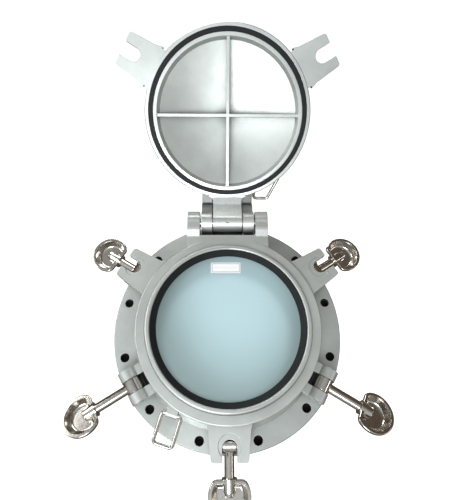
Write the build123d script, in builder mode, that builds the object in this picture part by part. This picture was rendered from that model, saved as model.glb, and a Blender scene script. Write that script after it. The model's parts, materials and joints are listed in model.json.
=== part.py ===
from build123d import *
import math
import os

# Opening porthole for a 250 mm clear light: a bolted main frame, a glass holder and a domed
# deadlight that swing on one top hinge pin, and five swing bolts with cupped ear nuts.
# +Z is up and -Y is inboard. The origin is the centre of the flange's back face.
# "Height" means the distance inboard from the flange's front face.

# Main frame
FLANGE_RADIUS = 210.0
FLANGE_THICKNESS = 14.0
FIXING_RADIUS = 193.0
FIXING_COUNT = 12
FIXING_HOLE_RADIUS = 8.0
HUB_FOOT_RADIUS = 173.0
HUB_TOP_RADIUS = 160.0
HUB_HEIGHT = 34.0
SPIGOT_RADIUS = 150.0
SPIGOT_LENGTH = 60.0
BORE_RADIUS = 129.0
RECESS_RADIUS = 141.0
KNIFE_RADIUS = 149.0
KNIFE_HEIGHT = 36.9

# Hinge
PIN_Z = 195.5
PIN_HEIGHT = 49.5
PIN_RADIUS = 8.0
RUNNING_GAP = 0.05
PIN_LENGTH = 153.0
ARM_INNER = 29.0
ARM_OUTER = 49.3
ARM_KNUCKLE_RADIUS = 21.0
ARM_CLEARANCE = 22.5
BUSH_WALL = 2.5
HOLDER_LUG_INNER = 52.0
HOLDER_LUG_OUTER = 75.4
HOLDER_KNUCKLE_RADIUS = 20.0
HOLDER_LUG_FACE = 68.5
BARREL_RADIUS = 17.6
BARREL_HALF_WIDTH = 27.5
OPEN_ANGLE = 142.0
TONGUE_FLARE_Z = 156.5

# Glass holder
HOLDER_RADIUS = 160.0
HOLDER_BOTTOM = 36.0
HOLDER_FACE = 62.0
BRIDGE_BOTTOM = 50.0
BRIDGE_EDGE = 165.0
BRIDGE_CORNER = 5.0
LIP_OUTER = 143.0
LIP_INNER = 134.5
LIP_HEIGHT = 68.0
GLASS_RADIUS = 132.5
GLASS_BOTTOM = 42.5
GLASS_THICKNESS = 12.0
GLASS_SIGHT_RADIUS = 125.0
POCKET_RADIUS = 134.0
SHOULDER_RADIUS = 129.5
SHOULDER_BOTTOM = 56.0
SHOULDER_TOP = 58.0
SHOULDER_ROOT = 62.5
KEEPER_RADIUS = 142.0
KEEPER_INNER = 124.0
KEEPER_BOTTOM = 36.8
KEEPER_TOP = 41.0
SCREW_COUNT = 12
SCREW_CIRCLE = 137.6
SCREW_RADIUS = 2.0
SCREW_HEAD_RADIUS = 4.0
SCREW_LENGTH = 12.0
SEAL_INNER = 145.5
SEAL_OUTER = 153.0
SEAL_FACE = 37.0
SEAL_DEPTH = 5.5

# Forks that the swing bolts drop into. Each is laid out from its own bolt's pivot radius.
FORK_REACH = 23.0
FORK_TIP_HALF = 29.5
FORK_CORNER = 5.0
FORK_ROOT = 164.0
FORK_ROOT_HALF = 34.0
FORK_FLARE = 10.0
FORK_SLOT_HALF = 12.0
FORK_SLOT_BACK = 9.5
HOLDER_FORK_BOTTOM = 43.0
HOLDER_FORK_TOP = 57.0
SPOTFACE_RADIUS = 18.5
SPOTFACE_DEPTH = 1.0
HOLDER_FORKS = ((32, 197), (148, 197), (270, 188))
DEADLIGHT_FORKS = ((211, 190), (329, 190))

# Deadlight, sized as it lies when shut
SEAT = 69.5
RIM_RADIUS = 151.0
RIM_BACK = 86.0
GASKET_INNER = 135.6
GASKET_OUTER = 144.1
GASKET_DEPTH = 5.5
GASKET_PROUD = 1.2
DISH_RADIUS = 128.7
DISH_EDGE = 78.0
DISH_CROWN = 100.0
DISH_WALL = 6.0
RIB_HALF = 2.75
RIB_EDGE = 71.5
DEADLIGHT_FORK_BOTTOM = 70.3
DEADLIGHT_FORK_TOP = 84.0
STOP_GAP = 0.4

# Swing bolts and ear nuts: the angle of each station, how far its bolt leans out, the radius of
# its pivot, the bolt's length, how far along it the nut is seated, and the nut's turn on it
BOLTS = (
    (32, 96, 197, 74, 46, 0),
    (148, 96, 197, 74, 46, 0),
    (211, 90, 190, 92, 70, 20),
    (270, 92, 188, 76, 50, 0),
    (329, 90, 190, 92, 70, -20),
)
PIVOT_HEIGHT = 19.0
EAR_RADIUS = 16.0
EAR_INNER = 11.7
EAR_OUTER = 29.0
EYE_RADIUS = 14.5
EYE_HALF_WIDTH = 11.2
CLEVIS_PIN_RADIUS = 5.0
BOLT_RADIUS = 8.0
NUT_BOSS_RADIUS = 12.5
NUT_BOSS_LENGTH = 20.0
NUT_BOSS_TAPER = 7.0
NUT_DISH_CENTRE = 24.0
NUT_DISH_RADIUS = 32.0
NUT_FLAT = 21.0
NUT_DEPTH = 15.0
NUT_RIM_HEIGHT = 6.0
NUT_WALL = 3.5
NUT_BEAD = 6.0
NUT_CORNER = 9.0
NUT_TAPER = 28.0
NUT_FLOOR_ROUND = 8.0
NUT_INNER_ROUND = 5.0

# The screw that locks the hinge pin, and the angle it points below straight inboard
LOCK_RADIUS = 2.5
LOCK_ANGLE = 22.0

# Wire bails. The deadlight's bail is laid out on its outer face: a bar, and two legs that spread
# to their pivots.
WIRE_RADIUS = 3.0
BAIL_BEND = 6.0
BOSS_RADIUS = 6.5
BOSS_HALF = 9.5
BOSS_ROOT = 6.5
HOLDER_BAIL_ANGLE = 237.0
HOLDER_BAIL_TURN = 15.5
HOLDER_BAIL_HEIGHT = 48.0
HOLDER_BAIL_RADIUS = 169.0
HOLDER_BAIL_HALF = 16.0
HOLDER_BAIL_LENGTH = 47.0
DEADLIGHT_BAIL_PIVOTS = (56.0, 106.0)
DEADLIGHT_BAIL_Z = 108.0
DEADLIGHT_BAIL_HEIGHT = 99.0
BAIL_STUB = 17.0
CHEEK_GAP = 9.0
CHEEK_WIDTH = 5.0
CHEEK_HALF = 9.0
BAIL_BAR_ENDS = (54.5, 82.0)
BAIL_BAR_Z = 158.0
BAIL_BAR_HEIGHT = 110.0

# Blank label on the pane
LABEL_CENTRE = (-4.0, 103.0)
LABEL_SIZE = (54.0, 20.0)

SCREW_ANGLES = [15 + 360 / SCREW_COUNT * i for i in range(SCREW_COUNT)]
GLASS_TOP = GLASS_BOTTOM + GLASS_THICKNESS

os.makedirs("parts", exist_ok=True)

# FACE holds (x, z) outlines at the flange's front, and its normal points inboard.
# SECTION holds (radius, height) profiles, and SIDE holds (z, height) profiles.
FACE = Plane(origin=(0, -FLANGE_THICKNESS, 0), x_dir=(1, 0, 0), z_dir=(0, -1, 0))
SECTION = Plane(origin=(0, -FLANGE_THICKNESS, 0), x_dir=(1, 0, 0), z_dir=(0, 0, -1))
SIDE = Plane(origin=(0, -FLANGE_THICKNESS, 0), x_dir=(0, 0, 1), z_dir=(1, 0, 0))
AXIS = Axis((0, 0, 0), (0, -1, 0))

# The same planes for the deadlight, swung open about the hinge pin
PIN_Y = -FLANGE_THICKNESS - PIN_HEIGHT
SWING = Pos(0, PIN_Y, PIN_Z) * Rot(X=-OPEN_ANGLE) * Pos(0, -PIN_Y, -PIN_Z)
OPEN_FACE = Plane(SWING * FACE.location)
OPEN_SECTION = Plane(SWING * SECTION.location)
OPEN_SIDE = Plane(SWING * SIDE.location)
OPEN_AXIS = Axis(OPEN_FACE.origin, OPEN_FACE.z_dir)


lock_drop = math.radians(LOCK_ANGLE)
lock_plane = Plane(
    origin=(0, PIN_Y, PIN_Z),
    x_dir=(1, 0, 0),
    z_dir=(0, -math.cos(lock_drop), -math.sin(lock_drop)),
)


def station(base, angle):
    """A plane parallel to base, its local x pointing outward at an angle."""
    outward = Vector(1, 0, 0).rotate(Axis.Z, angle)
    return Plane(
        origin=base.origin,
        x_dir=base.x_dir * outward.X + base.y_dir * outward.Y,
        z_dir=base.z_dir,
    )


def radial(angle):
    """A (radius, height) plane at an angle round the porthole."""
    c, s = math.cos(math.radians(angle)), math.sin(math.radians(angle))
    return Plane(origin=FACE.origin, x_dir=(c, 0, s), z_dir=(s, 0, -c))


def bolt_plane(angle, lean, pivot_radius):
    """A plane across a swing bolt at its pivot: x along the pivot pin, z along the bolt."""
    c, s = math.cos(math.radians(angle)), math.sin(math.radians(angle))
    out, up = math.sin(math.radians(lean)), math.cos(math.radians(lean))
    pivot = (pivot_radius * c, FACE.origin.Y - PIVOT_HEIGHT, pivot_radius * s)
    return Plane(origin=pivot, x_dir=(-s, 0, c), z_dir=(c * out, -up, s * out))


def screw_axis(angle):
    """The axis of a keeper ring screw."""
    plane = radial(angle)
    return Axis(plane.from_local_coords((SCREW_CIRCLE, 0, 0)), plane.y_dir)


def wire(path):
    """The round section of a wire that starts at a path's first point."""
    with BuildSketch(Plane(origin=path @ 0, z_dir=path % 0)) as section:
        Circle(WIRE_RADIUS)
    return section.sketch


def fork_outline(pivot):
    """A fork's outline: it flares into the rim, and narrows towards two rounded tines."""
    tip = pivot + FORK_REACH
    with BuildSketch() as outline:
        with BuildLine():
            Polyline(
                (FORK_ROOT - FORK_FLARE, -FORK_ROOT_HALF - FORK_FLARE / 3),
                (FORK_ROOT, -FORK_ROOT_HALF),
                (tip, -FORK_TIP_HALF),
                (tip, FORK_TIP_HALF),
                (FORK_ROOT, FORK_ROOT_HALF),
                (FORK_ROOT - FORK_FLARE, FORK_ROOT_HALF + FORK_FLARE / 3),
                close=True,
            )
        make_face()
        fillet(outline.vertices().group_by(Axis.X)[-1], FORK_CORNER)
    return outline.sketch


def slot_outline(pivot):
    """The round-ended slot that a bolt drops into."""
    with BuildSketch() as outline:
        with Locations((pivot - FORK_SLOT_BACK + FORK_SLOT_HALF, 0)):
            Circle(FORK_SLOT_HALF)
            Rectangle(FORK_REACH + FORK_SLOT_BACK, 2 * FORK_SLOT_HALF, align=(Align.MIN, Align.CENTER))
    return outline.sketch


def dish_outline(inset):
    """A nut's round dish, cut flat on the side that its bolt enters, in by an inset."""
    with BuildSketch() as outline:
        Circle(NUT_DISH_RADIUS - inset)
        with Locations((-NUT_FLAT + inset, 0)):
            Rectangle(
                2 * NUT_DISH_RADIUS,
                2 * NUT_DISH_RADIUS + 9,
                align=(Align.MIN, Align.CENTER),
                mode=Mode.INTERSECT,
            )
        fillet(outline.vertices(), NUT_CORNER - inset)
    return outline.sketch


def save(piece, name):
    """Label a finished piece and write its STEP file."""
    piece.part.label = name
    export_step(piece.part, f"parts/{name}.step")


# ---------------------------------------------------------------- main frame
with BuildPart() as hinge_arm:
    with BuildSketch(SIDE.offset(ARM_INNER)):
        with Locations((PIN_Z, PIN_HEIGHT)):
            Circle(ARM_KNUCKLE_RADIUS)
        with BuildLine():
            Polyline(
                (145, 2),
                (145, HUB_HEIGHT - 1),
                (161, HUB_HEIGHT - 1),
                (176, 46),
                (PIN_Z, PIN_HEIGHT),
                (PIN_Z, ARM_CLEARANCE),
                (171, ARM_CLEARANCE),
                (171, 2),
                close=True,
            )
        make_face()
        with BuildLine():
            Polyline(
                (186, ARM_CLEARANCE + 1.5),
                (225, ARM_CLEARANCE + 1.5),
                (254, 31),
                (270, 45),
                (270, 64),
                (252, 50),
                (212, 50),
                (186, 50),
                close=True,
            )
        make_face()
    extrude(amount=ARM_OUTER - ARM_INNER)
    # The stop face lies along the back of the open deadlight's rim
    with BuildSketch(OPEN_FACE.offset(RIM_BACK + STOP_GAP)):
        with Locations((45, 110)):
            Rectangle(60, 110)
    extrude(amount=-60, mode=Mode.SUBTRACT)
    fillet(hinge_arm.edges().filter_by(Axis.X).group_by(Axis.Z)[-1], 2)

# The thin web that closes the gap between the two arms, behind the barrel
with BuildPart() as hinge_web:
    with BuildSketch(SIDE):
        with BuildLine():
            Polyline(
                (156, ARM_CLEARANCE),
                (200, ARM_CLEARANCE),
                (225, 24),
                (254, 31),
                (268, 43.2),
                (265, 46.5),
                (252.5, 35),
                (225, 28),
                (200, 26.5),
                (156, 26.5),
                close=True,
            )
        make_face()
    extrude(amount=ARM_INNER + 1, both=True)

with BuildPart() as main_frame:
    with BuildSketch(SECTION):
        with BuildLine():
            Polyline(
                (BORE_RADIUS, -FLANGE_THICKNESS - SPIGOT_LENGTH),
                (SPIGOT_RADIUS - 2, -FLANGE_THICKNESS - SPIGOT_LENGTH),
                (SPIGOT_RADIUS, -FLANGE_THICKNESS - SPIGOT_LENGTH + 2),
                (SPIGOT_RADIUS, -FLANGE_THICKNESS),
                (FLANGE_RADIUS, -FLANGE_THICKNESS),
                (FLANGE_RADIUS, -1.5),
                (FLANGE_RADIUS - 1.5, 0),
                (HUB_FOOT_RADIUS, 0),
                (HUB_TOP_RADIUS + 0.6, HUB_HEIGHT - 1.5),
                (HUB_TOP_RADIUS - 1, HUB_HEIGHT),
                (KNIFE_RADIUS + 4, HUB_HEIGHT),
                (KNIFE_RADIUS + 1, KNIFE_HEIGHT),
                (KNIFE_RADIUS - 1, KNIFE_HEIGHT),
                (KNIFE_RADIUS - 4, HUB_HEIGHT),
                (RECESS_RADIUS + 1, HUB_HEIGHT),
                (RECESS_RADIUS, HUB_HEIGHT - 1),
                (RECESS_RADIUS, 26),
                (BORE_RADIUS + 2, 26),
                (BORE_RADIUS, 24),
                close=True,
            )
        make_face()
    revolve(axis=AXIS)
    # A pair of rounded ears holds each swing bolt's eye
    for angle, _, pivot, _, _, _ in BOLTS:
        for side in (-1, 1):
            with BuildSketch(radial(angle).offset(-side * EAR_INNER)):
                with Locations((pivot, PIVOT_HEIGHT)):
                    Circle(EAR_RADIUS)
                with BuildLine():
                    Polyline(
                        (HUB_TOP_RADIUS, -2),
                        (HUB_TOP_RADIUS, PIVOT_HEIGHT + 7),
                        (pivot - 10, PIVOT_HEIGHT + 7),
                        (pivot, PIVOT_HEIGHT),
                        (pivot + EAR_RADIUS, PIVOT_HEIGHT),
                        (FLANGE_RADIUS - 3, -2),
                        close=True,
                    )
                make_face()
            extrude(amount=-side * (EAR_OUTER - EAR_INNER))
    add(hinge_arm.part)
    mirror(hinge_arm.part, about=Plane.YZ)
    add(hinge_web.part)
    # The seats of the two hinge bushes
    with BuildSketch(SIDE.offset(-ARM_OUTER - 1)):
        with Locations((PIN_Z, PIN_HEIGHT)):
            Circle(PIN_RADIUS + RUNNING_GAP + BUSH_WALL)
    extrude(amount=2 * ARM_OUTER + 2, mode=Mode.SUBTRACT)
    with BuildSketch(FACE):
        with PolarLocations(FIXING_RADIUS, FIXING_COUNT, start_angle=15):
            Circle(FIXING_HOLE_RADIUS)
    extrude(amount=-FLANGE_THICKNESS, mode=Mode.SUBTRACT)
    # The clevis pins' holes
    for angle, _, pivot, _, _, _ in BOLTS:
        with BuildSketch(radial(angle).offset(-EAR_OUTER - 1)):
            with Locations((pivot, PIVOT_HEIGHT)):
                Circle(CLEVIS_PIN_RADIUS)
        extrude(amount=2 * EAR_OUTER + 2, mode=Mode.SUBTRACT)
save(main_frame, "main_frame")

for name, side in (("hinge_bush_left", -1), ("hinge_bush_right", 1)):
    with BuildPart() as bush:
        with BuildSketch(SIDE.offset(side * ARM_INNER)):
            with Locations((PIN_Z, PIN_HEIGHT)):
                Circle(PIN_RADIUS + RUNNING_GAP + BUSH_WALL)
                Circle(PIN_RADIUS + RUNNING_GAP, mode=Mode.SUBTRACT)
        extrude(amount=side * (ARM_OUTER - ARM_INNER))
    save(bush, name)

# ---------------------------------------------------------------- glass holder
# The plane that the holder's wire bail lies in, and the plane across the bail's own pivot
bail_seat = station(FACE.offset(HOLDER_BAIL_HEIGHT), HOLDER_BAIL_ANGLE)
bail_point = bail_seat.from_local_coords((HOLDER_BAIL_RADIUS, 0, 0))
bail_plane = station(Plane(bail_point, bail_seat.x_dir, bail_seat.z_dir), HOLDER_BAIL_TURN)
bail_across = Plane(bail_point, bail_plane.x_dir, bail_plane.y_dir)

with BuildPart() as holder_lug:
    with BuildSketch(SIDE.offset(HOLDER_LUG_INNER)):
        with Locations((PIN_Z, PIN_HEIGHT)):
            Circle(HOLDER_KNUCKLE_RADIUS)
        with BuildLine():
            Polyline(
                (130, BRIDGE_BOTTOM),
                (130, HOLDER_FACE - 2),
                (148, HOLDER_FACE - 0.3),
                (HOLDER_RADIUS + 2, HOLDER_FACE),
                (174, HOLDER_LUG_FACE - 1),
                (178, HOLDER_LUG_FACE),
                (208, HOLDER_LUG_FACE),
                (211, HOLDER_LUG_FACE - 2),
                (PIN_Z + HOLDER_KNUCKLE_RADIUS - 0.6, PIN_HEIGHT + 5),
                (PIN_Z, PIN_HEIGHT),
                (PIN_Z - 4, PIN_HEIGHT - HOLDER_KNUCKLE_RADIUS + 0.5),
                (152, HOLDER_BOTTOM + 4.5),
                close=True,
            )
        make_face()
    extrude(amount=HOLDER_LUG_OUTER - HOLDER_LUG_INNER)

# The part of the ring between its two hinge lugs, with rounded inner corners
with BuildPart() as holder_bridge:
    with BuildSketch(FACE.offset(BRIDGE_BOTTOM)):
        with Locations((0, BRIDGE_EDGE - 8)):
            Rectangle(2 * HOLDER_LUG_INNER, 30)
        with Locations((0, BRIDGE_EDGE + 15)):
            RectangleRounded(2 * HOLDER_LUG_INNER, 30, BRIDGE_CORNER, mode=Mode.SUBTRACT)
        with Locations((0, BRIDGE_EDGE + BRIDGE_CORNER)):
            Rectangle(2 * HOLDER_LUG_INNER, 30, align=(Align.CENTER, Align.MIN), mode=Mode.SUBTRACT)
        with Locations((0, BRIDGE_EDGE - 16)):
            Rectangle(2 * HOLDER_LUG_INNER, 30, align=(Align.CENTER, Align.MAX), mode=Mode.SUBTRACT)
    extrude(amount=HOLDER_FACE - BRIDGE_BOTTOM)
    chamfer(holder_bridge.faces().sort_by(Axis.Y)[0].edges().group_by(Axis.Z)[-1], 0.6)

with BuildPart() as glass_holder:
    with BuildSketch(SECTION):
        with BuildLine():
            Polyline(
                (HOLDER_RADIUS - 2, HOLDER_FACE),
                (LIP_OUTER + 0.8, HOLDER_FACE),
                (LIP_OUTER + 0.8, HOLDER_FACE - 0.8),
                (LIP_OUTER, HOLDER_FACE - 0.8),
                (LIP_OUTER, LIP_HEIGHT - 3),
            )
            ThreePointArc(
                (LIP_OUTER, LIP_HEIGHT - 3),
                (LIP_OUTER - 1, LIP_HEIGHT - 1),
                (LIP_OUTER - 3, LIP_HEIGHT),
            )
            Line((LIP_OUTER - 3, LIP_HEIGHT), (LIP_INNER + 2, LIP_HEIGHT))
            ThreePointArc(
                (LIP_INNER + 2, LIP_HEIGHT),
                (LIP_INNER + 0.6, LIP_HEIGHT - 0.6),
                (LIP_INNER, LIP_HEIGHT - 2),
            )
            Polyline(
                (LIP_INNER, LIP_HEIGHT - 2),
                (LIP_INNER, SHOULDER_ROOT),
                (SHOULDER_RADIUS, SHOULDER_TOP),
                (SHOULDER_RADIUS, SHOULDER_BOTTOM),
                (POCKET_RADIUS, SHOULDER_BOTTOM),
                (POCKET_RADIUS, KEEPER_TOP),
                (KEEPER_RADIUS, KEEPER_TOP),
                (KEEPER_RADIUS, HOLDER_BOTTOM),
                (SEAL_INNER, HOLDER_BOTTOM),
                (SEAL_INNER, SEAL_FACE + SEAL_DEPTH),
                (SEAL_OUTER, SEAL_FACE + SEAL_DEPTH),
                (SEAL_OUTER, HOLDER_BOTTOM),
                (HOLDER_RADIUS - 1, HOLDER_BOTTOM),
                (HOLDER_RADIUS, HOLDER_BOTTOM + 1),
                (HOLDER_RADIUS, HOLDER_FACE - 2),
            )
            ThreePointArc(
                (HOLDER_RADIUS, HOLDER_FACE - 2),
                (HOLDER_RADIUS - 0.6, HOLDER_FACE - 0.6),
                (HOLDER_RADIUS - 2, HOLDER_FACE),
            )
        make_face()
    revolve(axis=AXIS)
    for angle, pivot in HOLDER_FORKS:
        with BuildSketch(station(FACE.offset(HOLDER_FORK_BOTTOM), angle)):
            add(fork_outline(pivot))
        extrude(amount=HOLDER_FORK_TOP - HOLDER_FORK_BOTTOM)
    add(holder_lug.part)
    mirror(holder_lug.part, about=Plane.YZ)
    add(holder_bridge.part)
    for angle, pivot in HOLDER_FORKS:
        with BuildSketch(station(FACE.offset(HOLDER_FORK_BOTTOM - 1), angle)):
            add(slot_outline(pivot))
        extrude(amount=HOLDER_FORK_TOP - HOLDER_FORK_BOTTOM + 2, mode=Mode.SUBTRACT)
        with BuildSketch(station(FACE.offset(HOLDER_FORK_TOP - SPOTFACE_DEPTH), angle)):
            with Locations((pivot, 0)):
                Circle(SPOTFACE_RADIUS)
        extrude(amount=SPOTFACE_DEPTH + 1, mode=Mode.SUBTRACT)
    # The bores that turn on the hinge pin
    with BuildSketch(SIDE.offset(-HOLDER_LUG_OUTER - 1)):
        with Locations((PIN_Z, PIN_HEIGHT)):
            Circle(PIN_RADIUS + RUNNING_GAP)
    extrude(amount=2 * HOLDER_LUG_OUTER + 2, mode=Mode.SUBTRACT)
    # Tapped holes for the keeper ring's screws
    for angle in SCREW_ANGLES:
        with BuildSketch(station(FACE.offset(KEEPER_TOP - 1), angle)):
            with Locations((SCREW_CIRCLE, 0)):
                Circle(SCREW_RADIUS)
        extrude(amount=SCREW_LENGTH, mode=Mode.SUBTRACT)
    # The boss that the wire bail turns in
    with BuildSketch(bail_across.offset(-BOSS_HALF)):
        Circle(BOSS_RADIUS)
        Rectangle(BOSS_RADIUS + BOSS_ROOT, 2 * BOSS_RADIUS, align=(Align.MAX, Align.CENTER))
    extrude(amount=2 * BOSS_HALF)
    with BuildSketch(bail_across.offset(-BOSS_HALF - 1)):
        Circle(WIRE_RADIUS + 0.1)
    extrude(amount=2 * BOSS_HALF + 2, mode=Mode.SUBTRACT)
save(glass_holder, "glass_holder")

with BuildPart() as glass_holder_seal:
    with BuildSketch(SECTION):
        with BuildLine():
            Polyline(
                (SEAL_INNER, SEAL_FACE),
                (SEAL_OUTER, SEAL_FACE),
                (SEAL_OUTER, SEAL_FACE + SEAL_DEPTH),
                (SEAL_INNER, SEAL_FACE + SEAL_DEPTH),
                close=True,
            )
        make_face()
    revolve(axis=AXIS)
save(glass_holder_seal, "glass_holder_seal")

with BuildPart() as glass_pane:
    with BuildSketch(FACE.offset(GLASS_BOTTOM)):
        Circle(GLASS_RADIUS)
    extrude(amount=GLASS_THICKNESS)
    chamfer(glass_pane.edges(), 0.8)
save(glass_pane, "glass_pane")

# The visible wedge of rubber between the pane and the holder's lip
with BuildPart() as glazing_seal:
    with BuildSketch(SECTION):
        with BuildLine():
            Polyline(
                (GLASS_SIGHT_RADIUS, GLASS_TOP),
                (POCKET_RADIUS, GLASS_TOP),
                (POCKET_RADIUS, SHOULDER_BOTTOM),
                (SHOULDER_RADIUS, SHOULDER_BOTTOM),
                (SHOULDER_RADIUS, SHOULDER_TOP),
                (LIP_INNER, SHOULDER_ROOT),
                (LIP_INNER, 65.8),
                (LIP_INNER - 1.2, 65.8),
                close=True,
            )
        make_face()
    revolve(axis=AXIS)
save(glazing_seal, "glazing_seal")

# The rubber bed behind the pane and round its edge
with BuildPart() as bedding_gasket:
    with BuildSketch(SECTION):
        with BuildLine():
            Polyline(
                (GLASS_SIGHT_RADIUS, KEEPER_TOP),
                (POCKET_RADIUS, KEEPER_TOP),
                (POCKET_RADIUS, GLASS_TOP),
                (GLASS_RADIUS, GLASS_TOP),
                (GLASS_RADIUS, GLASS_BOTTOM),
                (GLASS_SIGHT_RADIUS, GLASS_BOTTOM),
                close=True,
            )
        make_face()
    revolve(axis=AXIS)
save(bedding_gasket, "bedding_gasket")

with BuildPart() as glass_keeper_ring:
    with BuildSketch(SECTION):
        with BuildLine():
            Polyline(
                (KEEPER_INNER + 1, KEEPER_BOTTOM),
                (KEEPER_RADIUS - 0.2, KEEPER_BOTTOM),
                (KEEPER_RADIUS - 0.2, KEEPER_TOP),
                (KEEPER_INNER, KEEPER_TOP),
                (KEEPER_INNER, KEEPER_BOTTOM + 1),
                close=True,
            )
        make_face()
    revolve(axis=AXIS)
    for angle in SCREW_ANGLES:
        with BuildSketch(radial(angle)):
            with BuildLine():
                Polyline(
                    (SCREW_CIRCLE, KEEPER_BOTTOM),
                    (SCREW_CIRCLE + SCREW_HEAD_RADIUS + 0.1, KEEPER_BOTTOM),
                    (SCREW_CIRCLE + SCREW_RADIUS + 0.1, KEEPER_BOTTOM + SCREW_HEAD_RADIUS / 2),
                    (SCREW_CIRCLE + SCREW_RADIUS + 0.1, KEEPER_TOP),
                    (SCREW_CIRCLE, KEEPER_TOP),
                    close=True,
                )
            make_face()
        revolve(axis=screw_axis(angle), mode=Mode.SUBTRACT)
save(glass_keeper_ring, "glass_keeper_ring")

with BuildPart() as keeper_ring_screws:
    for angle in SCREW_ANGLES:
        with BuildSketch(radial(angle)):
            with BuildLine():
                Polyline(
                    (SCREW_CIRCLE, KEEPER_BOTTOM + 0.1),
                    (SCREW_CIRCLE + SCREW_HEAD_RADIUS, KEEPER_BOTTOM + 0.1),
                    (SCREW_CIRCLE + SCREW_RADIUS, KEEPER_BOTTOM + SCREW_HEAD_RADIUS / 2 + 0.1),
                    (SCREW_CIRCLE + SCREW_RADIUS, KEEPER_BOTTOM + SCREW_LENGTH),
                    (SCREW_CIRCLE, KEEPER_BOTTOM + SCREW_LENGTH),
                    close=True,
                )
            make_face()
        revolve(axis=screw_axis(angle))
        # A cross slot in each head
        with BuildSketch(station(FACE.offset(KEEPER_BOTTOM), angle)):
            with Locations((SCREW_CIRCLE, 0)):
                Rectangle(4.6, 0.9)
                Rectangle(0.9, 4.6)
        extrude(amount=1.3, mode=Mode.SUBTRACT)
save(keeper_ring_screws, "keeper_ring_screws")

with BuildPart() as pane_label:
    with BuildSketch(FACE.offset(GLASS_TOP)):
        with Locations(LABEL_CENTRE):
            RectangleRounded(LABEL_SIZE[0], LABEL_SIZE[1], 1.5)
    extrude(amount=0.3)
save(pane_label, "pane_label")

with BuildPart() as glass_holder_bail:
    with BuildLine(bail_plane) as bail_path:
        FilletPolyline(
            (0, 0),
            (0, HOLDER_BAIL_HALF),
            (HOLDER_BAIL_LENGTH, HOLDER_BAIL_HALF),
            (HOLDER_BAIL_LENGTH, -HOLDER_BAIL_HALF),
            (0, -HOLDER_BAIL_HALF),
            (0, -0.01),
            radius=BAIL_BEND,
        )
    sweep(wire(bail_path.line), path=bail_path.line)
save(glass_holder_bail, "glass_holder_bail")

# ---------------------------------------------------------------- deadlight
with BuildPart() as tongue:
    with BuildSketch(OPEN_SIDE):
        with Locations((PIN_Z, PIN_HEIGHT)):
            Circle(BARREL_RADIUS)
        with BuildLine():
            Polyline(
                (145.5, SEAT + 1),
                (150, SEAT + 1),
                (163, SEAT - 3),
                (PIN_Z - 14.6, PIN_HEIGHT - 9.8),
                (PIN_Z, PIN_HEIGHT),
                (PIN_Z + 6.6, PIN_HEIGHT + 16.3),
                (150, RIM_BACK - 1),
                (145.5, RIM_BACK - 1),
                close=True,
            )
        make_face()
    extrude(amount=60, both=True)
    # Seen from inboard, the tongue's straight sides turn out into the rim
    with BuildSketch(OPEN_FACE):
        with BuildLine():
            Line((BARREL_HALF_WIDTH, PIN_Z + 30), (BARREL_HALF_WIDTH, TONGUE_FLARE_Z))
            ThreePointArc(
                (BARREL_HALF_WIDTH, TONGUE_FLARE_Z),
                (BARREL_HALF_WIDTH + 2.4, TONGUE_FLARE_Z - 5.6),
                (BARREL_HALF_WIDTH + 8, TONGUE_FLARE_Z - 8),
            )
            Line((BARREL_HALF_WIDTH + 8, TONGUE_FLARE_Z - 8), (BARREL_HALF_WIDTH + 8, 130))
            Line((BARREL_HALF_WIDTH + 8, 130), (0, 130))
            Line((0, 130), (0, PIN_Z + 30))
            Line((0, PIN_Z + 30), (BARREL_HALF_WIDTH, PIN_Z + 30))
        make_face()
        mirror(about=Plane.YZ)
    extrude(amount=120, mode=Mode.INTERSECT)

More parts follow.
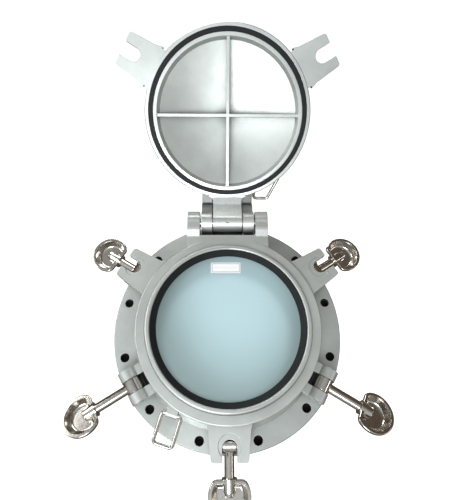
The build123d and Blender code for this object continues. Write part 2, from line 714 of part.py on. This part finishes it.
with BuildPart() as deadlight:
    # The rim and the dished plate
    with BuildSketch(OPEN_SECTION):
        with BuildLine():
            Polyline(
                (0, DISH_CROWN + DISH_WALL),
                (0, DISH_CROWN),
            )
            ThreePointArc(
                (0, DISH_CROWN),
                (DISH_RADIUS / 2 - 1, DISH_CROWN - (DISH_CROWN - DISH_EDGE) / 4),
                (DISH_RADIUS - 4, DISH_EDGE),
            )
            Polyline(
                (DISH_RADIUS - 4, DISH_EDGE),
                (DISH_RADIUS, SEAT + 1),
                (DISH_RADIUS + 0.6, SEAT),
                (GASKET_INNER, SEAT),
                (GASKET_INNER, SEAT + GASKET_DEPTH),
                (GASKET_OUTER, SEAT + GASKET_DEPTH),
                (GASKET_OUTER, SEAT),
                (RIM_RADIUS - 1.5, SEAT),
                (RIM_RADIUS, SEAT + 1.5),
                (RIM_RADIUS, RIM_BACK - 2),
                (RIM_RADIUS - 2, RIM_BACK),
                (DISH_RADIUS + 2, RIM_BACK),
            )
            ThreePointArc(
                (DISH_RADIUS + 2, RIM_BACK),
                (DISH_RADIUS / 2, DISH_CROWN + DISH_WALL - (DISH_CROWN + DISH_WALL - RIM_BACK) / 4),
                (0, DISH_CROWN + DISH_WALL),
            )
        make_face()
    revolve(axis=OPEN_AXIS)
    for angle, pivot in DEADLIGHT_FORKS:
        with BuildSketch(station(OPEN_FACE.offset(DEADLIGHT_FORK_BOTTOM), angle)):
            add(fork_outline(pivot))
        extrude(amount=DEADLIGHT_FORK_TOP - DEADLIGHT_FORK_BOTTOM)
        # The fork's root reaches in under the rim's rounded edge
        with BuildSketch(station(OPEN_FACE.offset(DEADLIGHT_FORK_BOTTOM), angle)):
            with Locations((RIM_RADIUS - 6, 0)):
                Rectangle(FORK_ROOT - RIM_RADIUS, 2 * FORK_ROOT_HALF, align=(Align.MIN, Align.CENTER))
        extrude(amount=DEADLIGHT_FORK_TOP - DEADLIGHT_FORK_BOTTOM)
    add(tongue.part)
    for angle, pivot in DEADLIGHT_FORKS:
        with BuildSketch(station(OPEN_FACE.offset(SEAT), angle)):
            add(slot_outline(pivot))
        extrude(amount=RIM_BACK - SEAT, mode=Mode.SUBTRACT)
        with BuildSketch(station(OPEN_FACE.offset(DEADLIGHT_FORK_TOP - SPOTFACE_DEPTH), angle)):
            with Locations((pivot, 0)):
                Circle(SPOTFACE_RADIUS)
        extrude(amount=SPOTFACE_DEPTH + 1, mode=Mode.SUBTRACT)
    # The two crossed ribs in the dish
    for angle in (0, 90):
        rib_plane = station(OPEN_FACE, angle)
        with BuildSketch(Plane(OPEN_FACE.origin, rib_plane.x_dir, -rib_plane.y_dir)):
            with BuildLine():
                ThreePointArc(
                    (-DISH_RADIUS + 1.5, DISH_EDGE + 2),
                    (0, DISH_CROWN + 3),
                    (DISH_RADIUS - 1.5, DISH_EDGE + 2),
                )
                Polyline(
                    (DISH_RADIUS - 1.5, DISH_EDGE + 2),
                    (DISH_RADIUS + 1, RIB_EDGE),
                    (-DISH_RADIUS - 1, RIB_EDGE),
                    (-DISH_RADIUS + 1.5, DISH_EDGE + 2),
                )
            make_face()
        extrude(amount=RIB_HALF, both=True)
    # The two cheeks that carry the deadlight's wire bail
    for x in (
        DEADLIGHT_BAIL_PIVOTS[0] + CHEEK_GAP,
        DEADLIGHT_BAIL_PIVOTS[1] - CHEEK_GAP - CHEEK_WIDTH,
    ):
        with BuildSketch(OPEN_SIDE.offset(x)):
            with Locations((DEADLIGHT_BAIL_Z, DEADLIGHT_BAIL_HEIGHT)):
                Circle(BOSS_RADIUS)
            with BuildLine():
                Polyline(
                    (DEADLIGHT_BAIL_Z - CHEEK_HALF, RIM_BACK - 1.5),
                    (DEADLIGHT_BAIL_Z - BOSS_RADIUS + 0.3, DEADLIGHT_BAIL_HEIGHT + 2),
                    (DEADLIGHT_BAIL_Z + BOSS_RADIUS - 0.3, DEADLIGHT_BAIL_HEIGHT + 2),
                    (DEADLIGHT_BAIL_Z + CHEEK_HALF, RIM_BACK - 1.5),
                    close=True,
                )
            make_face()
        extrude(amount=CHEEK_WIDTH)
        with BuildSketch(OPEN_SIDE.offset(x)):
            with Locations((DEADLIGHT_BAIL_Z, DEADLIGHT_BAIL_HEIGHT)):
                Circle(WIRE_RADIUS + 0.1)
        extrude(amount=CHEEK_WIDTH, mode=Mode.SUBTRACT)
    # The barrel's bore, and the tapped hole for the screw that locks the pin in it
    with BuildSketch(SIDE.offset(-BARREL_HALF_WIDTH - 1)):
        with Locations((PIN_Z, PIN_HEIGHT)):
            Circle(PIN_RADIUS)
    extrude(amount=2 * BARREL_HALF_WIDTH + 2, mode=Mode.SUBTRACT)
    with BuildSketch(lock_plane):
        Circle(LOCK_RADIUS)
    extrude(amount=BARREL_RADIUS + 1, mode=Mode.SUBTRACT)
save(deadlight, "deadlight")

with BuildPart() as deadlight_gasket:
    with BuildSketch(OPEN_SECTION):
        with BuildLine():
            Polyline(
                (GASKET_INNER, SEAT + GASKET_DEPTH),
                (GASKET_INNER, SEAT - GASKET_PROUD + 0.8),
                (GASKET_INNER + 0.8, SEAT - GASKET_PROUD),
                (GASKET_OUTER - 0.8, SEAT - GASKET_PROUD),
                (GASKET_OUTER, SEAT - GASKET_PROUD + 0.8),
                (GASKET_OUTER, SEAT + GASKET_DEPTH),
                close=True,
            )
        make_face()
    revolve(axis=OPEN_AXIS)
save(deadlight_gasket, "deadlight_gasket")

with BuildPart() as deadlight_bail:
    with BuildLine() as bail_path:
        FilletPolyline(
            *[
                OPEN_FACE.from_local_coords(point)
                for point in (
                    (DEADLIGHT_BAIL_PIVOTS[0] + BAIL_STUB, DEADLIGHT_BAIL_Z, DEADLIGHT_BAIL_HEIGHT),
                    (DEADLIGHT_BAIL_PIVOTS[0], DEADLIGHT_BAIL_Z, DEADLIGHT_BAIL_HEIGHT),
                    (BAIL_BAR_ENDS[0], BAIL_BAR_Z, BAIL_BAR_HEIGHT),
                    (BAIL_BAR_ENDS[1], BAIL_BAR_Z, BAIL_BAR_HEIGHT),
                    (DEADLIGHT_BAIL_PIVOTS[1], DEADLIGHT_BAIL_Z, DEADLIGHT_BAIL_HEIGHT),
                    (DEADLIGHT_BAIL_PIVOTS[1] - BAIL_STUB, DEADLIGHT_BAIL_Z, DEADLIGHT_BAIL_HEIGHT),
                )
            ],
            radius=BAIL_BEND,
        )
    sweep(wire(bail_path.line), path=bail_path.line)
save(deadlight_bail, "deadlight_bail")

with BuildPart() as hinge_pin:
    with BuildSketch(SIDE.offset(-PIN_LENGTH / 2)):
        with Locations((PIN_Z, PIN_HEIGHT)):
            Circle(PIN_RADIUS)
    extrude(amount=PIN_LENGTH)
    chamfer(hinge_pin.edges(), 1)
    # The flat that the lock screw bears on
    with BuildSketch(lock_plane.offset(PIN_RADIUS - 1)):
        Rectangle(9, 20)
    extrude(amount=2, mode=Mode.SUBTRACT)
save(hinge_pin, "hinge_pin")

with BuildPart() as hinge_lock_screw:
    with BuildSketch(lock_plane.offset(PIN_RADIUS - 1)):
        Circle(LOCK_RADIUS)
    extrude(amount=BARREL_RADIUS - PIN_RADIUS)
    with BuildSketch(lock_plane.offset(BARREL_RADIUS - 1)):
        RegularPolygon(1.5, 6)
    extrude(amount=-2.5, mode=Mode.SUBTRACT)
save(hinge_lock_screw, "hinge_lock_screw")

# ---------------------------------------------------------------- swing bolts and ear nuts
for number, (angle, lean, pivot, length, seat, spin) in enumerate(BOLTS, 1):
    across = bolt_plane(angle, lean, pivot)
    # The plane across the clevis pin, with its x along the bolt
    pivot_plane = Plane(across.origin, across.z_dir, across.x_dir)
    with BuildPart() as bolt:
        with BuildSketch(pivot_plane.offset(-EYE_HALF_WIDTH)):
            Circle(EYE_RADIUS)
        extrude(amount=2 * EYE_HALF_WIDTH)
        chamfer(bolt.edges(), 0.8)
        with BuildSketch(across):
            Circle(BOLT_RADIUS)
        extrude(amount=length)
        chamfer(bolt.faces().sort_by(Axis(across.origin, across.z_dir))[-1].edges(), 1.5)
        with BuildSketch(pivot_plane.offset(-EYE_HALF_WIDTH - 1)):
            Circle(CLEVIS_PIN_RADIUS + RUNNING_GAP)
        extrude(amount=2 * EYE_HALF_WIDTH + 2, mode=Mode.SUBTRACT)
    save(bolt, f"swing_bolt_{number}")

    with BuildPart() as clevis_pin:
        with BuildSketch(pivot_plane.offset(-EAR_OUTER - 0.5)):
            Circle(CLEVIS_PIN_RADIUS)
        extrude(amount=2 * EAR_OUTER + 1)
        chamfer(clevis_pin.edges(), 0.8)
    save(clevis_pin, f"swing_bolt_pin_{number}")

    # The nut's own plane: x outward along the bolt, z out of the dish
    turned = station(across, spin)
    dish = Plane(turned.from_local_coords((0, 0, seat + NUT_DISH_CENTRE)), turned.z_dir, turned.y_dir)
    with BuildPart() as hollow:
        with BuildSketch(dish.offset(NUT_RIM_HEIGHT)):
            add(dish_outline(NUT_WALL))
        extrude(amount=-NUT_DEPTH + NUT_WALL, taper=NUT_TAPER)
        fillet(hollow.faces().sort_by(Axis(dish.origin, dish.z_dir))[0].edges(), NUT_INNER_ROUND)
    with BuildPart() as nut:
        with BuildSketch(dish.offset(NUT_RIM_HEIGHT)):
            add(dish_outline(0))
        extrude(amount=-NUT_DEPTH, taper=NUT_TAPER)
        fillet(nut.faces().sort_by(Axis(dish.origin, dish.z_dir))[0].edges(), NUT_FLOOR_ROUND)
        # The rolled rim
        with BuildSketch(dish.offset(NUT_RIM_HEIGHT - NUT_BEAD / 2)):
            add(dish_outline(-NUT_BEAD / 3))
        extrude(amount=NUT_BEAD)
        fillet(nut.faces().sort_by(Axis(dish.origin, dish.z_dir))[-1].edges(), NUT_BEAD / 3)
        with BuildSketch(dish.offset(NUT_RIM_HEIGHT)):
            add(dish_outline(NUT_WALL))
        extrude(amount=NUT_BEAD, mode=Mode.SUBTRACT)
        add(hollow.part, mode=Mode.SUBTRACT)
        # The tapered boss that takes the bolt: it stands out of the dish's flat side
        with BuildSketch(across.offset(seat)):
            Circle(NUT_BOSS_RADIUS)
        extrude(amount=NUT_BOSS_LENGTH, taper=NUT_BOSS_TAPER)
        with BuildSketch(across):
            Circle(BOLT_RADIUS + RUNNING_GAP)
        extrude(amount=length + 0.5, mode=Mode.SUBTRACT)
    save(nut, f"ear_nut_{number}")
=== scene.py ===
import json
import math

import bpy
from mathutils import Matrix, Vector


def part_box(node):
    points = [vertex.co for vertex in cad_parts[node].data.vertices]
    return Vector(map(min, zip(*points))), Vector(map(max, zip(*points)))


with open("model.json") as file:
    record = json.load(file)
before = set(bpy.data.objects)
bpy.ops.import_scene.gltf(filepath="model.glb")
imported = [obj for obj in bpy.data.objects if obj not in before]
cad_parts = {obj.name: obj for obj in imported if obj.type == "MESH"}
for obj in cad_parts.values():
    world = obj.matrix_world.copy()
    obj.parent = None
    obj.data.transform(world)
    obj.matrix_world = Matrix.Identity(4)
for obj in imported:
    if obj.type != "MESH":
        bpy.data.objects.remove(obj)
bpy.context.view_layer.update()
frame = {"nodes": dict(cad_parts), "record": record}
nodes = frame["nodes"]

# ---------------------------------------------------------------- camera
EYE = Vector((-0.0183, -0.7224, -0.1067))
LOOK = Vector((0.0190, 0.9365, 0.3501))
ROLL = math.radians(-0.45)
LENS = 27.07


def aim(direction, roll=0.0):
    """The rotation that points an object's -Z along a direction, +Z of the world up."""
    return direction.to_track_quat("-Z", "Y").to_matrix().to_4x4() @ Matrix.Rotation(roll, 4, "Z")


camera = bpy.data.objects.new("camera", bpy.data.cameras.new("camera"))
bpy.context.collection.objects.link(camera)
camera.data.lens = LENS
camera.data.sensor_width = 36.0
camera.data.sensor_fit = "AUTO"
camera.data.clip_start = 0.02
camera.matrix_world = Matrix.Translation(EYE) @ aim(LOOK, ROLL)
bpy.context.scene.camera = camera
bpy.context.scene.view_settings.view_transform = "Standard"


# ---------------------------------------------------------------- light
def area_light(name, place, target, size, power, colour):
    data = bpy.data.lights.new(name, "AREA")
    data.shape = "RECTANGLE"
    data.size, data.size_y = size
    data.energy = power
    data.color = colour
    lamp = bpy.data.objects.new(name, data)
    bpy.context.collection.objects.link(lamp)
    place = Vector(place)
    lamp.matrix_world = Matrix.Translation(place) @ aim(Vector(target) - place)
    return lamp


area_light("low", (-0.5, -1.7, -1.5), (0, 0, 0.1), (1.2, 0.8), 32, (0.97, 0.99, 1.0))
area_light("key", (-1.9, -1.1, 0.5), (0, 0, 0), (0.7, 1.3), 19, (1.0, 1.0, 0.98))
area_light("top", (-0.4, -1.0, 1.9), (0, 0, 0.1), (1.2, 0.7), 19, (0.97, 1.0, 1.0))
area_light("right", (1.9, -0.9, -0.5), (0, 0, 0.1), (0.3, 1.2), 4, (1.0, 0.98, 0.95))
area_light("back", (0.8, 1.9, 1.4), (0, 0, 0), (1.2, 1.2), 10, (1.0, 1.0, 1.0))


# ---------------------------------------------------------------- shader helpers
def add_node(tree, kind, inputs=None, **settings):
    """Adds a node, sets its properties, and joins or sets its inputs by name or number."""
    node = tree.nodes.new(kind)
    for key, value in settings.items():
        setattr(node, key, value)
    for key, value in (inputs or {}).items():
        if isinstance(value, bpy.types.NodeSocket):
            tree.links.new(value, node.inputs[key])
        else:
            node.inputs[key].default_value = value
    return node


def maths(tree, operation, *values):
    node = add_node(tree, "ShaderNodeMath", dict(enumerate(values)), operation=operation)
    return node.outputs[0]


def step(tree, value, low, high):
    """0 below low and 1 above high, smooth between them."""
    node = add_node(
        tree, "ShaderNodeMapRange",
        {"Value": value, "From Min": low, "From Max": high}, interpolation_type="SMOOTHSTEP",
    )
    return node.outputs["Result"]


def mix_colour(tree, factor, a, b):
    node = add_node(tree, "ShaderNodeMix", data_type="RGBA")
    for socket, value in ((node.inputs[0], factor), (node.inputs[6], a), (node.inputs[7], b)):
        if isinstance(value, bpy.types.NodeSocket):
            tree.links.new(value, socket)
        else:
            socket.default_value = value
    return node.outputs[2]


def noise(tree, vector, scale, detail=3.0, roughness=0.5):
    node = add_node(
        tree, "ShaderNodeTexNoise",
        {"Vector": vector, "Scale": scale, "Detail": detail, "Roughness": roughness},
    )
    return node.outputs["Fac"]


def place_of(tree):
    return add_node(tree, "ShaderNodeTexCoord").outputs["Object"]


def stretched(tree, vector, scale):
    return add_node(tree, "ShaderNodeMapping", {"Vector": vector, "Scale": scale}).outputs[0]


def bumped(tree, height, distance, strength=1.0, rounding=None):
    inputs = {"Height": height, "Distance": distance, "Strength": strength}
    if rounding is not None:
        bevel = add_node(tree, "ShaderNodeBevel", {"Radius": rounding}, samples=4)
        inputs["Normal"] = bevel.outputs[0]
    return add_node(tree, "ShaderNodeBump", inputs).outputs[0]


def new_material(name):
    material = bpy.data.materials.new(name)
    material.use_nodes = True
    return material, material.node_tree, material.node_tree.nodes["Principled BSDF"]


def connect(tree, shader, **values):
    for key, value in values.items():
        socket = shader.inputs[key.replace("_", " ")]
        if isinstance(value, bpy.types.NodeSocket):
            tree.links.new(value, socket)
        else:
            socket.default_value = value


# ---------------------------------------------------------------- materials
# The brushed faces round the hinge: half their width, their lowest and highest z, and how far
# back they reach. Each is a pair: where the brushing starts to fade, and where it has gone.
BRUSHED_HALF = (0.079, 0.083)
BRUSHED_BOTTOM = (0.160, 0.172)
BRUSHED_TOP = (0.268, 0.280)
BRUSHED_BACK = (-0.030, -0.022)
# How far up the hinge arms the painted shade takes to darken
ARM_SHADE_FADE = 0.03
CORNER_REACH = 0.024
CAST_BUMP = 0.00016
CAST_ROUNDING = 0.0012


def cast_aluminium(name, tone, shade_above=None):
    """Satin cast aluminium: fine grain, slow cloudy tone, and brushed faces round the hinge.

    Above the height shade_above, the colour fades to near black: painted shade, as if the open
    deadlight's rim shadowed it.
    """
    material, tree, shader = new_material(name)
    place = place_of(tree)
    cloud = noise(tree, place, 9.0, 4.0, 0.6)
    mottle = noise(tree, place, 140.0, 4.0, 0.6)
    grain = noise(tree, place, 1500.0, 2.0, 0.6)
    dark = tuple(c * 0.86 for c in tone) + (1.0,)
    light = tuple(min(1.0, c * 1.08) for c in tone) + (1.0,)
    colour = mix_colour(tree, step(tree, cloud, 0.3, 0.7), dark, light)
    specks = maths(tree, "MULTIPLY", step(tree, grain, 0.5, 0.75), 0.22)
    colour = mix_colour(tree, specks, colour, (0.36, 0.37, 0.36, 1.0))
    rough = maths(tree, "MULTIPLY_ADD", mottle, 0.18, 0.34)
    height = maths(tree, "MULTIPLY_ADD", mottle, 0.6, maths(tree, "MULTIPLY", grain, 0.4))
    x, y, z = add_node(tree, "ShaderNodeSeparateXYZ", {"Vector": place}).outputs
    near = maths(tree, "SUBTRACT", 1.0, step(tree, maths(tree, "ABSOLUTE", x), *BRUSHED_HALF))
    above = step(tree, z, *BRUSHED_BOTTOM)
    below = maths(tree, "SUBTRACT", 1.0, step(tree, z, *BRUSHED_TOP))
    proud = maths(tree, "SUBTRACT", 1.0, step(tree, y, *BRUSHED_BACK))
    mask = maths(
        tree, "MULTIPLY",
        maths(tree, "MULTIPLY", near, above), maths(tree, "MULTIPLY", below, proud),
    )
    streak = noise(tree, stretched(tree, place, (700.0, 400.0, 10.0)), 1.0, 3.0, 0.6)
    worn = mix_colour(
        tree, step(tree, streak, 0.3, 0.7), (0.60, 0.62, 0.61, 1.0), (0.70, 0.72, 0.71, 1.0),
    )
    colour = mix_colour(tree, mask, colour, worn)
    rough = maths(tree, "ADD", rough, maths(tree, "MULTIPLY", mask, -0.08))
    brushing = maths(tree, "MULTIPLY", maths(tree, "MULTIPLY", mask, streak), 0.15)
    height = maths(tree, "ADD", height, brushing)
    if shade_above is not None:
        # Painted shade: above this height the colour fades to near black, as if in the open
        # deadlight rim's shadow
        arm_shade = step(tree, z, shade_above, shade_above + ARM_SHADE_FADE)
        colour = mix_colour(tree, arm_shade, colour, (0.13, 0.135, 0.13, 1.0))
    # Painted shade: colour darkened in corners and crevices by an occlusion mask, standing in for
    # contact shadows
    corner_shade = add_node(
        tree, "ShaderNodeAmbientOcclusion", {"Distance": CORNER_REACH}, samples=8,
    ).outputs["AO"]
    colour = mix_colour(tree, step(tree, corner_shade, 0.1, 0.85), (0.14, 0.145, 0.14, 1.0), colour)
    connect(
        tree, shader, Base_Color=colour, Metallic=0.7, Roughness=rough,
        Normal=bumped(tree, height, CAST_BUMP, 0.6, CAST_ROUNDING),
    )
    return material


def polished(name, tone, roughness, ripple):
    """Polished or plated metal, with faint waves and fine scratches."""
    material, tree, shader = new_material(name)
    place = place_of(tree)
    wave = noise(tree, place, 45.0, 2.0, 0.5)
    scratch = noise(tree, stretched(tree, place, (2600.0, 160.0, 900.0)), 1.0, 2.0, 0.6)
    stain = noise(tree, place, 70.0, 5.0, 0.65)
    stained = tuple(c * 0.8 for c in tone)
    colour = mix_colour(tree, step(tree, stain, 0.35, 0.75), tone + (1.0,), stained + (1.0,))
    rough = maths(tree, "MULTIPLY_ADD", stain, 0.12, roughness - 0.05)
    scored = maths(tree, "MULTIPLY", scratch, 0.02)
    height = maths(tree, "ADD", maths(tree, "MULTIPLY", wave, ripple), scored)
    connect(
        tree, shader, Base_Color=colour, Metallic=1.0, Roughness=rough,
        Normal=bumped(tree, height, 0.001, 0.7, 0.0006),
    )
    return material


def rubber(name):
    material, tree, shader = new_material(name)
    place = place_of(tree)
    bloom = noise(tree, place, 60.0, 4.0, 0.6)
    grain = noise(tree, place, 1800.0, 2.0, 0.6)
    colour = mix_colour(tree, bloom, (0.006, 0.007, 0.008, 1.0), (0.018, 0.020, 0.021, 1.0))
    rough = maths(tree, "MULTIPLY_ADD", bloom, 0.2, 0.48)
    connect(
        tree, shader, Base_Color=colour, Roughness=rough, Specular_IOR_Level=0.28,
        Normal=bumped(tree, grain, 0.00008, 0.5, 0.0005),
    )
    return material


# The painted pale reflection on the pane: its centre and its reach, in x and z
PATCH_CENTRE = (0.018, 0.050)
PATCH_REACH = (0.13, 0.17)


def pane_glass(name):
    """Thick toughened glass, with a painted pale reflection towards the upper middle."""
    material, tree, shader = new_material(name)
    place = place_of(tree)
    x, _, z = add_node(tree, "ShaderNodeSeparateXYZ", {"Vector": place}).outputs
    drift = noise(tree, place, 5.0, 2.0, 0.5)
    # Painted reflection: paler towards the upper middle, and darker towards the lower left
    offsets = (
        maths(tree, "DIVIDE", maths(tree, "SUBTRACT", value, centre), reach)
        for value, centre, reach in zip((x, z), PATCH_CENTRE, PATCH_REACH)
    )
    across, along = (maths(tree, "POWER", offset, 2.0) for offset in offsets)
    wander = maths(tree, "MULTIPLY", drift, 0.3)
    spread = maths(tree, "ADD", maths(tree, "ADD", across, along), wander)
    colour = mix_colour(
        tree, step(tree, spread, 0.1, 1.3), (0.59, 0.80, 0.85, 1.0), (0.31, 0.42, 0.43, 1.0),
    )
    shader.inputs["IOR"].default_value = 1.5
    connect(
        tree, shader, Base_Color=colour, Roughness=0.28, Transmission_Weight=0.45,
        Coat_Weight=1.0, Coat_Roughness=0.03,
        Normal=bumped(tree, noise(tree, place, 14.0, 2.0, 0.5), 0.0006, 0.25),
    )
    return material


# The label's border: how far in it lies and half its thickness
BORDER_INSET = 0.0022
BORDER_HALF = 0.0005
# The faint rules: how far up the first lies, half their spacing, half their thickness, and how
# far inside the border they stop
RULE_START = 0.0045
RULE_SPACING = 0.00275
RULE_HALF = 0.0004
RULE_MARGIN = 0.0030


def blank_label(name, box):
    """White stock with a thin grey border and a few faint rules, and no lettering."""
    material, tree, shader = new_material(name)
    place = place_of(tree)
    x, _, z = add_node(tree, "ShaderNodeSeparateXYZ", {"Vector": place}).outputs
    low, high = box
    across = maths(tree, "ABSOLUTE", maths(tree, "SUBTRACT", x, (low.x + high.x) / 2))
    along = maths(tree, "ABSOLUTE", maths(tree, "SUBTRACT", z, (low.z + high.z) / 2))
    inset = maths(
        tree, "MINIMUM",
        maths(tree, "SUBTRACT", (high.x - low.x) / 2, across),
        maths(tree, "SUBTRACT", (high.z - low.z) / 2, along),
    )
    border = maths(tree, "COMPARE", inset, BORDER_INSET, BORDER_HALF)
    ladder = maths(tree, "PINGPONG", maths(tree, "SUBTRACT", z, low.z + RULE_START), RULE_SPACING)
    rule = maths(tree, "LESS_THAN", ladder, RULE_HALF)
    inside = maths(tree, "GREATER_THAN", inset, BORDER_INSET + RULE_MARGIN)
    faint = maths(tree, "MULTIPLY", maths(tree, "MULTIPLY", rule, inside), 0.35)
    ink = maths(tree, "MAXIMUM", border, faint)
    fibre = noise(tree, place, 700.0, 3.0, 0.6)
    paper = mix_colour(tree, fibre, (0.86, 0.87, 0.88, 1.0), (0.95, 0.95, 0.96, 1.0))
    connect(
        tree, shader, Roughness=0.4,
        Base_Color=mix_colour(tree, ink, paper, (0.30, 0.33, 0.35, 1.0)),
        Normal=bumped(tree, fibre, 0.00003, 0.4),
    )
    return material


CAST = (0.60, 0.63, 0.61)
# Where the painted shade on the hinge arms starts: just under the top of their knuckles
ARM_SHADE_Z = 0.212
# By material slot, or by node where one casting differs from the rest of its slot
finishes = {
    "cast_body": cast_aluminium("cast_body", CAST),
    "main_frame": cast_aluminium("main_frame_cast", CAST, shade_above=ARM_SHADE_Z),
    "machined": polished("machined", (0.80, 0.81, 0.80), 0.34, 0.02),
    "bright": polished("bright", (0.66, 0.63, 0.585), 0.14, 0.05),
    "stainless": polished("stainless", (0.66, 0.64, 0.61), 0.24, 0.03),
    "bronze": polished("bronze", (0.62, 0.43, 0.22), 0.32, 0.03),
    "seal_rubber": rubber("seal_rubber"),
    "pane": pane_glass("pane"),
    "label": blank_label("label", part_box("pane_label")),
}
for entry in frame["record"]["subparts"]:
    mesh = nodes[entry["node"]].data
    mesh.materials.clear()
    mesh.materials.append(finishes.get(entry["node"], finishes[entry["material_slot"]]))

# ---------------------------------------------------------------- backdrop
# A pale floor that curves up into a pale wall behind the porthole
FLOOR_Z = -1.0
FLOOR_FRONT_Y = -3.0
WALL_Y = 2.2
WALL_TOP_Z = 4.0
HALF_WIDTH = 5.0
CURVE = 0.8
CURVE_STEPS = 16
profile = [(FLOOR_FRONT_Y, FLOOR_Z), (WALL_Y - CURVE, FLOOR_Z)]
profile += [
    (WALL_Y - CURVE + CURVE * math.sin(t), FLOOR_Z + CURVE - CURVE * math.cos(t))
    for t in (math.pi / 2 * i / CURVE_STEPS for i in range(1, CURVE_STEPS + 1))
]
profile.append((WALL_Y, WALL_TOP_Z))
sweep = bpy.data.meshes.new("backdrop")
sweep.from_pydata(
    [(x, y, z) for y, z in profile for x in (-HALF_WIDTH, HALF_WIDTH)],
    [],
    [(2 * i, 2 * i + 1, 2 * i + 3, 2 * i + 2) for i in range(len(profile) - 1)],
)
backdrop = bpy.data.objects.new("backdrop", sweep)
bpy.context.collection.objects.link(backdrop)
paper, tree, shader = new_material("backdrop")
cloud = noise(tree, place_of(tree), 1.2, 2.0, 0.5)
connect(
    tree, shader, Roughness=0.9,
    Base_Color=mix_colour(tree, cloud, (0.88, 0.88, 0.88, 1.0), (0.93, 0.93, 0.93, 1.0)),
    Emission_Color=(1.0, 1.0, 1.0, 1.0), Emission_Strength=0.7,
)
sweep.materials.append(paper)
backdrop.visible_diffuse = False
backdrop.visible_glossy = False
backdrop.visible_shadow = False

# Painted shade: a dark disc just behind each fixing hole, so the holes read as dark as they do in
# deep shade over a hull
HOLE_COUNT = 12
HOLE_CIRCLE = 0.193
FIRST_HOLE = math.radians(15)
DISC_RADIUS = 0.0085
DISC_Y = 0.0003
DISC_SIDES = 24
hole_turns = [FIRST_HOLE + 2 * math.pi * i / HOLE_COUNT for i in range(HOLE_COUNT)]
disc_turns = [2 * math.pi * i / DISC_SIDES for i in range(DISC_SIDES)]
disc_mesh = bpy.data.meshes.new("hole_shade_card")
disc_mesh.from_pydata(
    [
        (
            HOLE_CIRCLE * math.cos(hole) + DISC_RADIUS * math.cos(turn),
            DISC_Y,
            HOLE_CIRCLE * math.sin(hole) + DISC_RADIUS * math.sin(turn),
        )
        for hole in hole_turns for turn in disc_turns
    ],
    [],
    [tuple(range(DISC_SIDES * i, DISC_SIDES * (i + 1))) for i in range(HOLE_COUNT)],
)
discs = bpy.data.objects.new("hole_shade_card", disc_mesh)
bpy.context.collection.objects.link(discs)
disc_paper, tree, shader = new_material("hole_shade_card")
grain = noise(tree, place_of(tree), 300.0, 2.0, 0.5)
connect(
    tree, shader, Roughness=0.95,
    Base_Color=mix_colour(tree, grain, (0.010, 0.010, 0.010, 1.0), (0.020, 0.020, 0.020, 1.0)),
)
disc_mesh.materials.append(disc_paper)

# The room: bright below and in front, fading to a warm brown above and behind
world = bpy.data.worlds.new("room")
bpy.context.scene.world = world
world.use_nodes = True
tree = world.node_tree
facing = add_node(
    tree, "ShaderNodeVectorMath",
    {0: add_node(tree, "ShaderNodeTexCoord").outputs["Generated"], 1: (-0.35, -0.75, -0.55)},
    operation="DOT_PRODUCT",
).outputs["Value"]
room = mix_colour(
    tree, step(tree, facing, 0.1, 1.0), (0.15, 0.118, 0.088, 1.0), (0.80, 0.84, 0.86, 1.0),
)
tree.links.new(room, tree.nodes["Background"].inputs["Color"])
tree.nodes["Background"].inputs["Strength"].default_value = 0.8
